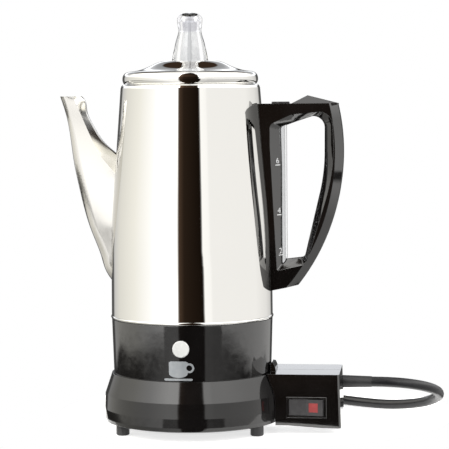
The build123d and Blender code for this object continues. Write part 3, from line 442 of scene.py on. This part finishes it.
# ---------------------------------------------------------------- floor
FLOOR_RADIUS = 0.14
FLOOR_CENTRE = (0.035, 0.075)
FLOOR_DROP = 0.0001             # keeps the floor just under the feet
FLOOR_SIDES = 96
floor_mesh = bpy.data.meshes.new("floor")
floor_builder = bmesh.new()
bmesh.ops.create_circle(floor_builder, cap_ends=True, segments=FLOOR_SIDES, radius=FLOOR_RADIUS)
floor_builder.to_mesh(floor_mesh)
floor_builder.free()
floor = bpy.data.objects.new("floor", floor_mesh)
floor.location = (*FLOOR_CENTRE, -FLOOR_DROP)
scene.collection.objects.link(floor)
floor_look = surface("floor_pale", ((0.86, 0.86, 0.86), (0.88, 0.88, 0.875)), (0.5, 0.6), 30,
                     Emission_Color=(1, 1, 1, 1), Emission_Strength=0.7)
floor_mesh.materials.append(floor_look)

# ---------------------------------------------------------------- studio light, all round the object
SKY_PEAK = 6.0                  # the strongest light that a ramp can hold
WHITE = (1.0, 0.995, 0.985)
WARM = (1.0, 0.985, 0.92)
COOL = (0.94, 0.96, 1.0)
DARK = (1.0, 0.62, 0.4)
EVEN = (1.0, 1.0, 1.0)          # no tint, where a ramp holds degrees instead of light
THROUGH_CLEAR = 0.6             # how much of the plain backdrop shows through clear plastic

# lights and dark gaps over the azimuth, 0 being towards the camera: degrees, strength, tint
ROUND_STOPS = (
    (-180, 0.3, COOL), (-168, 0.1, WHITE), (-152, 0.12, WHITE), (-146, 0.75, WHITE), (-126, 1.05, WARM),
    (-90, 1.3, WARM), (-62, 1.55, WHITE), (-34, 2.2, WHITE), (-20.6, 2.2, WHITE), (-19.3, 0.1, DARK),
    (-11, 0.03, DARK), (13.8, 0.01, DARK), (15.0, 1.5, WHITE), (24, 1.45, WHITE), (27, 1.32, WHITE),
    (100, 1.3, WHITE), (128, 1.1, WHITE), (146, 0.8, WHITE), (152, 0.1, WHITE), (168, 0.1, WHITE),
)
# what the elevation does to them
HEIGHT_STOPS = (
    (-90, 0.6, WHITE), (-24, 0.6, WHITE), (-15, 1.0, WHITE), (9, 1.0, WHITE), (26, 2.6, WHITE),
    (42, 2.6, WHITE), (60, 1.5, WHITE), (90, 1.2, WHITE),
)
# the rear panel over the elevation
REAR_STOPS = (
    (-90, 1.8, COOL), (9, 1.8, COOL), (15.8, 2.0, COOL), (18.5, 0.8, COOL), (25, 0.5, COOL), (32, 0.42, COOL),
    (34, 0.05, DARK), (57, 0.05, DARK), (62, 1.2, WHITE), (90, 1.2, WHITE),
)
# below eye level the dark gap in front reaches further to the right
GAP_DROP = (-6.0, -2.0)         # elevations between which it changes
GAP_SHIFT = -3.0                # degrees
GAP_SIDE = (0.0, 8.0)           # azimuths between which it starts
# the rear panel takes over behind the object, above the horizon
REAR_AZIMUTHS = (120.0, 150.0)
REAR_ELEVATIONS = (9.0, 13.0)
# the lights' lower edge over the azimuth, as degrees above its base
EDGE_BASE = -12.0
EDGE_STOPS = (
    (-180, 3.4, EVEN), (-128, 3.4, EVEN), (-105, 2.5, EVEN), (-75, 1.9, EVEN), (-42, 1.7, EVEN),
    (-37, 3.5, EVEN), (37, 3.5, EVEN), (43, 1.8, EVEN), (105, 1.8, EVEN), (130, 3.0, EVEN), (180, 3.0, EVEN),
)
EDGE_BLUR = (-0.15, 0.2)        # degrees over which the light drops
LOSS_AZIMUTHS = (36.0, 80.0)    # the light lost below the edge, in front and to the sides
LOSSES = (0.77, 0.95)
TABLE_ELEVATIONS = (-12.5, -13.8)   # where the bright table top starts
studio = bpy.data.worlds.new("studio")
scene.world = studio
studio.use_nodes = True
sky = studio.node_tree
sky.nodes.clear()


def sky_node(kind, *values):
    """A world node with its first sockets set or linked in order."""
    node = sky.nodes.new(kind)
    for socket, value in zip(node.inputs, values):
        if isinstance(value, bpy.types.NodeSocket):
            sky.links.new(value, socket)
        else:
            socket.default_value = value
    return node


def sky_math(operation, first, second=0.0):
    """A value worked out from one or two others."""
    node = sky_node("ShaderNodeMath", first, second)
    node.operation = operation
    return node.outputs[0]


def sky_dot(direction, axis):
    """How far a direction goes along an axis."""
    node = sky_node("ShaderNodeVectorMath", direction, tuple(axis))
    node.operation = "DOT_PRODUCT"
    return node.outputs["Value"]


def sky_range(value, low, high, low_result=0.0, high_result=1.0):
    """A value's place between low and high, as a result that stays between two others."""
    return sky_node("ShaderNodeMapRange", value, low, high, low_result, high_result).outputs[0]


def sky_ramp(value, limit, stops):
    """Light over an angle from -limit to limit: stops are (degrees, strength, tint)."""
    node = sky_node("ShaderNodeValToRGB", sky_range(value, -limit, limit))
    elements = node.color_ramp.elements
    elements.remove(elements[1])
    for number, (angle, strength, tint) in enumerate(stops):
        place = (angle + limit) / (2 * limit)
        stop = elements[0] if number == 0 else elements.new(place)
        stop.position = place
        stop.color = (*(strength / SKY_PEAK * part for part in tint), 1)
    return node.outputs["Color"]


def sky_mix(share, first, second, blend="MIX"):
    """Two colours mixed, or multiplied, by a share."""
    node = sky.nodes.new("ShaderNodeMix")
    node.data_type = "RGBA"
    node.blend_type = blend
    if isinstance(share, bpy.types.NodeSocket):
        sky.links.new(share, node.inputs["Factor"])
    else:
        node.inputs["Factor"].default_value = share
    sky.links.new(first, node.inputs["A"])
    sky.links.new(second, node.inputs["B"])
    return node.outputs["Result"]


heading = sky_node("ShaderNodeTexCoord").outputs["Generated"]
azimuth = sky_math("MULTIPLY", sky_math("ARCTAN2", sky_dot(heading, right), sky_dot(heading, back)), 180 / pi)
elevation = sky_math("MULTIPLY", sky_math("ARCSINE", sky_dot(heading, (0, 0, 1))), 180 / pi)
away = sky_math("ABSOLUTE", azimuth)

# the lights all round, in front of and beside the object
gap_drop = sky_range(elevation, *GAP_DROP, GAP_SHIFT, 0.0)
gap_shift = sky_math("MULTIPLY", gap_drop, sky_range(azimuth, *GAP_SIDE))
round_light = sky_ramp(sky_math("ADD", azimuth, gap_shift), 180, ROUND_STOPS)
front_light = sky_mix(1, round_light, sky_ramp(elevation, 90, HEIGHT_STOPS), "MULTIPLY")

# below a low edge all round the light is dim, down to the bright table top
low_edge = sky_math("ADD", sky_math("MULTIPLY", sky_ramp(azimuth, 180, EDGE_STOPS), SKY_PEAK), EDGE_BASE)
below_edge = sky_range(sky_math("SUBTRACT", low_edge, elevation), *EDGE_BLUR)
edge_loss = sky_math("MULTIPLY", below_edge, sky_range(away, *LOSS_AZIMUTHS, *LOSSES))
table_edge = sky_range(elevation, *TABLE_ELEVATIONS, 1.0, 0.0)
low_light = sky_math("SUBTRACT", 1.0, sky_math("MULTIPLY", edge_loss, table_edge))
front_scaled = sky_node("ShaderNodeVectorMath", front_light)
front_scaled.operation = "SCALE"
sky.links.new(sky_math("MULTIPLY", low_light, SKY_PEAK), front_scaled.inputs["Scale"])

# behind the object, the rear panel
rear_share = sky_math("MULTIPLY", sky_range(away, *REAR_AZIMUTHS), sky_range(elevation, *REAR_ELEVATIONS))
whole = sky_mix(rear_share, front_scaled.outputs[0], sky_ramp(elevation, 90, REAR_STOPS))

# the camera sees a plain white backdrop, and clear plastic shows some of it
lit = sky_node("ShaderNodeBackground", whole, SKY_PEAK)
plain = sky_node("ShaderNodeBackground", (1, 1, 1, 1), 1.0)
light_path = sky_node("ShaderNodeLightPath")
through_clear = sky_math("MULTIPLY", light_path.outputs["Is Transmission Ray"], THROUGH_CLEAR)
seen = sky_math("MAXIMUM", light_path.outputs["Is Camera Ray"], through_clear)
either = sky_node("ShaderNodeMixShader", seen, lit.outputs[0], plain.outputs[0])
sky_node("ShaderNodeOutputWorld", either.outputs[0])

scene.view_settings.view_transform = "Standard"
